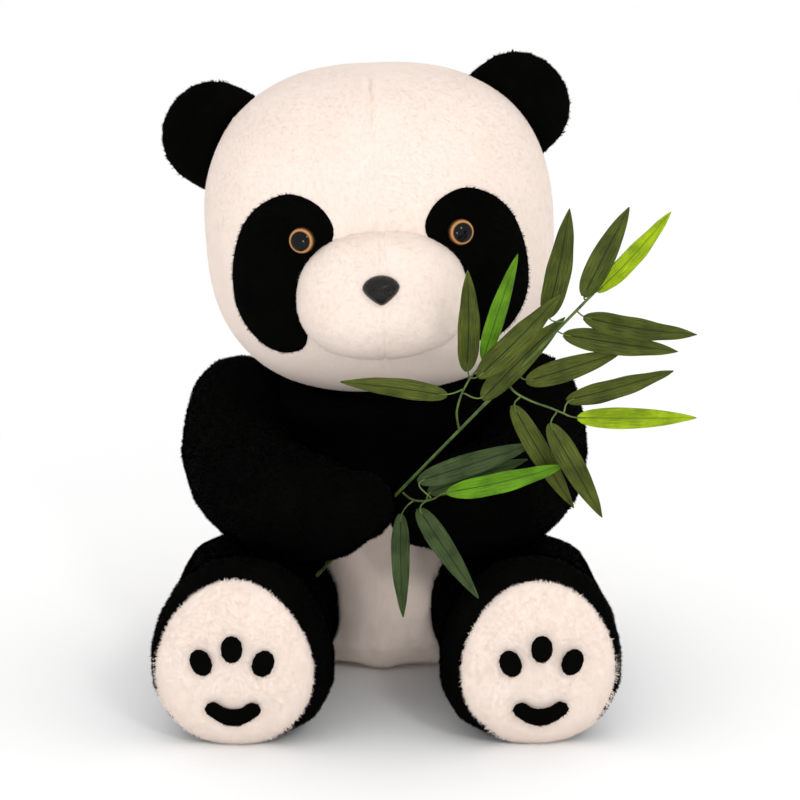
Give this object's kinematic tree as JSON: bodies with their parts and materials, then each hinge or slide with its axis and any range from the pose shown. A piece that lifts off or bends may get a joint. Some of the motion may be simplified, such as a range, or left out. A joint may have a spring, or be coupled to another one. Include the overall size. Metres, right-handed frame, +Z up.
{
  "type": "plush panda holding artificial bamboo",
  "caption": "Sitting black-and-white plush panda with bent arms hugging a spray of artificial bamboo; head, ears, arms and legs move on stuffed fabric joints.",
  "frame": {"origin": "middle of the flat seat panel, on the plane the panda sits on", "axes": "+Z up, -Y is the way the face and the soles point, +X is the panda's own left side"},
  "size_m": [0.4171, 0.4324, 0.5093],
  "materials": {
    "white_plush": "matte",
    "black_plush": "matte",
    "stuffing": "matte",
    "eye_plastic": "gloss",
    "nose_plastic": "satin",
    "washer_plastic": "matte",
    "stem_plastic": "satin",
    "dark_leaf": "satin",
    "lime_leaf": "satin"
  },
  "bodies": {
    "torso": {"torso_stuffing": "stuffing", "shoulder_yoke": "black_plush", "lower_body_cover": "white_plush", "seat_panel": "white_plush", "tail": "white_plush"},
    "neck": {"neck_stuffing": "stuffing"},
    "head": {"head_stuffing": "stuffing", "head_left_cover": "white_plush", "head_right_cover": "white_plush", "muzzle": "white_plush", "left_eye_patch": "black_plush", "right_eye_patch": "black_plush", "left_eye": "eye_plastic", "right_eye": "eye_plastic", "left_eye_washer": "washer_plastic", "right_eye_washer": "washer_plastic", "nose": "nose_plastic", "nose_washer": "washer_plastic"},
    "left_ear_body": {"left_ear": "black_plush"},
    "right_ear_body": {"right_ear": "black_plush"},
    "right_arm_body": {"right_arm_cover": "black_plush", "right_arm_stuffing": "stuffing"},
    "left_arm_body": {"left_arm_cover": "black_plush", "left_arm_stuffing": "stuffing"},
    "right_leg_body": {"right_leg_cover": "black_plush", "right_leg_stuffing": "stuffing", "right_sole": "white_plush", "right_inner_toe_pad": "black_plush", "right_middle_toe_pad": "black_plush", "right_outer_toe_pad": "black_plush", "right_heel_pad": "black_plush"},
    "left_leg_body": {"left_leg_cover": "black_plush", "left_leg_stuffing": "stuffing", "left_sole": "white_plush", "left_inner_toe_pad": "black_plush", "left_middle_toe_pad": "black_plush", "left_outer_toe_pad": "black_plush", "left_heel_pad": "black_plush"},
    "bamboo": {"main_stem": "stem_plastic", "upper_twig": "stem_plastic", "side_twig": "stem_plastic", "lower_twig": "stem_plastic", "leaf_01": "dark_leaf", "leaf_02": "lime_leaf", "leaf_03": "dark_leaf", "leaf_05": "dark_leaf", "leaf_06": "dark_leaf", "leaf_07": "lime_leaf", "leaf_08": "dark_leaf", "leaf_09": "dark_leaf", "leaf_10": "dark_leaf", "leaf_11": "dark_leaf", "leaf_12": "lime_leaf", "leaf_13": "dark_leaf", "leaf_14": "dark_leaf", "leaf_15": "dark_leaf", "leaf_16": "dark_leaf", "leaf_18": "lime_leaf", "leaf_19": "dark_leaf", "leaf_20": "dark_leaf"}
  },
  "joints": [
    {"name": "neck_turn", "type": "hinge", "parent": "torso", "child": "neck", "pos_m": [0, 0, 0.228], "axis": [0, 0, 1], "range_deg": [-15, 15], "stiffness_Nm_per_rad": 1.2},
    {"name": "neck_nod", "type": "hinge", "parent": "neck", "child": "head", "pos_m": [0, 0, 0.228], "axis": [1, 0, 0], "range_deg": [-6, 6], "stiffness_Nm_per_rad": 4, "springref_deg": -2.01},
    {"name": "right_ear_bend", "type": "hinge", "parent": "head", "child": "right_ear_body", "pos_m": [-0.13506, -0.016, 0.43695], "axis": [0.4695, 0, 0.8829], "range_deg": [-15, 15], "stiffness_Nm_per_rad": 0.05},
    {"name": "left_ear_bend", "type": "hinge", "parent": "head", "child": "left_ear_body", "pos_m": [0.11064, -0.016, 0.46277], "axis": [0.6428, 0, -0.766], "range_deg": [-15, 15], "stiffness_Nm_per_rad": 0.05},
    {"name": "right_shoulder_turn", "type": "hinge", "parent": "torso", "child": "right_arm_body", "pos_m": [-0.12, 0.004, 0.198], "axis": [-0.5, 0, -0.866], "range_deg": [0, 35]},
    {"name": "left_shoulder_turn", "type": "hinge", "parent": "torso", "child": "left_arm_body", "pos_m": [0.12, 0.004, 0.198], "axis": [-0.5, 0, 0.866], "range_deg": [0, 35]},
    {"name": "right_hip_turn", "type": "hinge", "parent": "torso", "child": "right_leg_body", "pos_m": [-0.098, -0.045, 0], "axis": [0, 0, -1], "range_deg": [0, 25]},
    {"name": "left_hip_turn", "type": "hinge", "parent": "torso", "child": "left_leg_body", "pos_m": [0.098, -0.045, 0], "axis": [0, 0, 1], "range_deg": [0, 25]},
    {"name": "bamboo_slide", "type": "slide", "parent": "right_arm_body", "child": "bamboo", "axis": [0.6121, -0.31, 0.7275], "range_m": [0, 0.1]}
  ]
}
